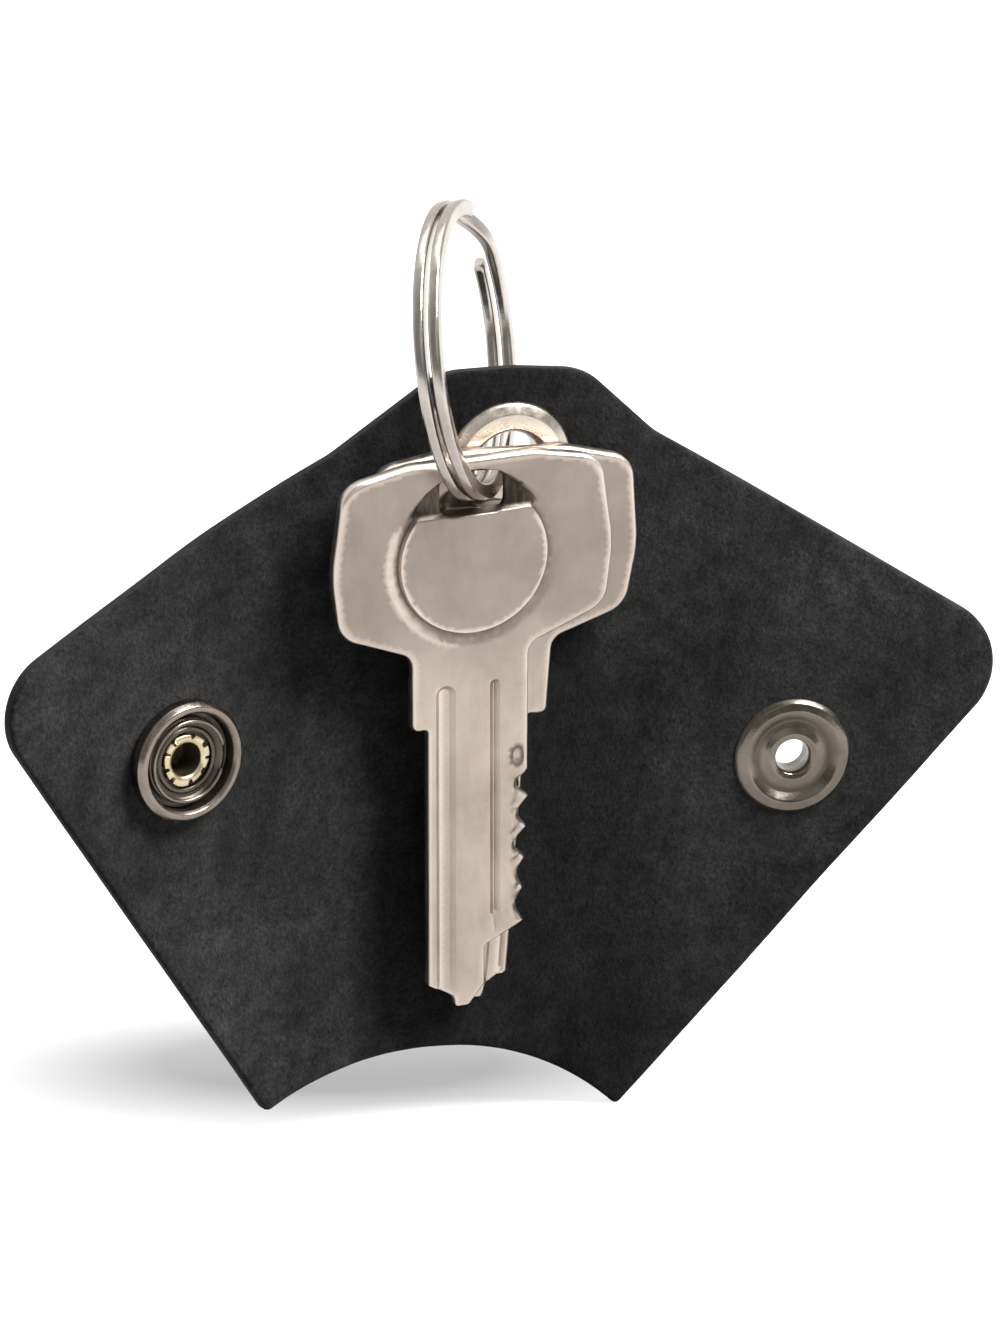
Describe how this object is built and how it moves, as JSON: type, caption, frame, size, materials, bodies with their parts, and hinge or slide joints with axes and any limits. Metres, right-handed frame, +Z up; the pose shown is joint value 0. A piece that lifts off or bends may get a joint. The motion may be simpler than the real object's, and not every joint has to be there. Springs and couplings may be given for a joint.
{
  "type": "key organizer",
  "caption": "Fold-over leather key case: a butterfly-shaped cover hangs by an eyelet on a split ring with keys, and its wings fold over the keys and close with a snap.",
  "frame": {"origin": "inside of the split ring's top, where the organizer hangs", "axes": "+Z up, +X across the cover to the viewer's right, -Y out of the cover's inner face towards the viewer"},
  "size_m": [0.106, 0.026, 0.0985],
  "materials": {
    "leather": "black leather, napped on the inner face and smooth-grained on the outer face",
    "nickel": "polished nickel plate",
    "gunmetal": "polished dark nickel plate",
    "brass": "plain rolled brass"
  },
  "bodies": {
    "ring": {"split_ring": "nickel"},
    "spine": {"spine_panel": "leather", "eyelet_barrel": "nickel", "eyelet_washer": "nickel"},
    "left_side": {"left_fold_strip": "leather"},
    "left_flap": {"left_wing": "leather", "snap_cap_shell": "gunmetal", "snap_cap_post": "brass", "socket_housing": "gunmetal", "socket_base": "gunmetal", "socket_spring": "nickel"},
    "right_side": {"right_fold_strip": "leather"},
    "right_flap": {"right_wing": "leather", "stud": "gunmetal", "stud_post": "gunmetal"},
    "front_key_body": {"front_key": "nickel"},
    "back_key_body": {"back_key": "nickel"}
  },
  "joints": [
    {"name": "cover_swing", "type": "hinge", "parent": "ring", "child": "spine", "pos_m": [0.00647, -0.00008, -0.02589], "axis": [0, 1, 0], "range_deg": [-20, 0]},
    {"name": "left_fold", "type": "hinge", "parent": "spine", "child": "left_side", "pos_m": [-0.0109, -0.00008, -0.05752], "axis": [-0.1236, 0, 0.9923], "range_deg": [-6.67, 73.33]},
    {"name": "left_wing_fold", "type": "hinge", "parent": "left_side", "child": "left_flap", "pos_m": [-0.02131, -0.00131, -0.05881], "axis": [-0.1236, 0, 0.9923], "range_deg": [-8.33, 91.67]},
    {"name": "right_fold", "type": "hinge", "parent": "spine", "child": "right_side", "pos_m": [0.01531, -0.00008, -0.05982], "axis": [-0.3239, 0, -0.9461], "range_deg": [-4.5, 85.5]},
    {"name": "right_wing_fold", "type": "hinge", "parent": "right_side", "child": "right_flap", "pos_m": [0.02097, -0.00055, -0.06175], "axis": [-0.3239, 0, -0.9461], "range_deg": [-4.5, 85.5]},
    {"name": "back_key_swing", "type": "hinge", "parent": "ring", "child": "back_key_body", "pos_m": [0.00358, -0.00228, -0.02682], "axis": [0, 1, 0], "range_deg": [-17, 1]},
    {"name": "front_key_swing", "type": "hinge", "parent": "ring", "child": "front_key_body", "pos_m": [0.00224, -0.00428, -0.02662], "axis": [0, 1, 0], "range_deg": [-35, 2]}
  ],
  "couplings": [
    {"joint": "left_wing_fold", "follows": "left_fold", "ratio": 1.25},
    {"joint": "right_wing_fold", "follows": "right_fold", "ratio": 1}
  ]
}
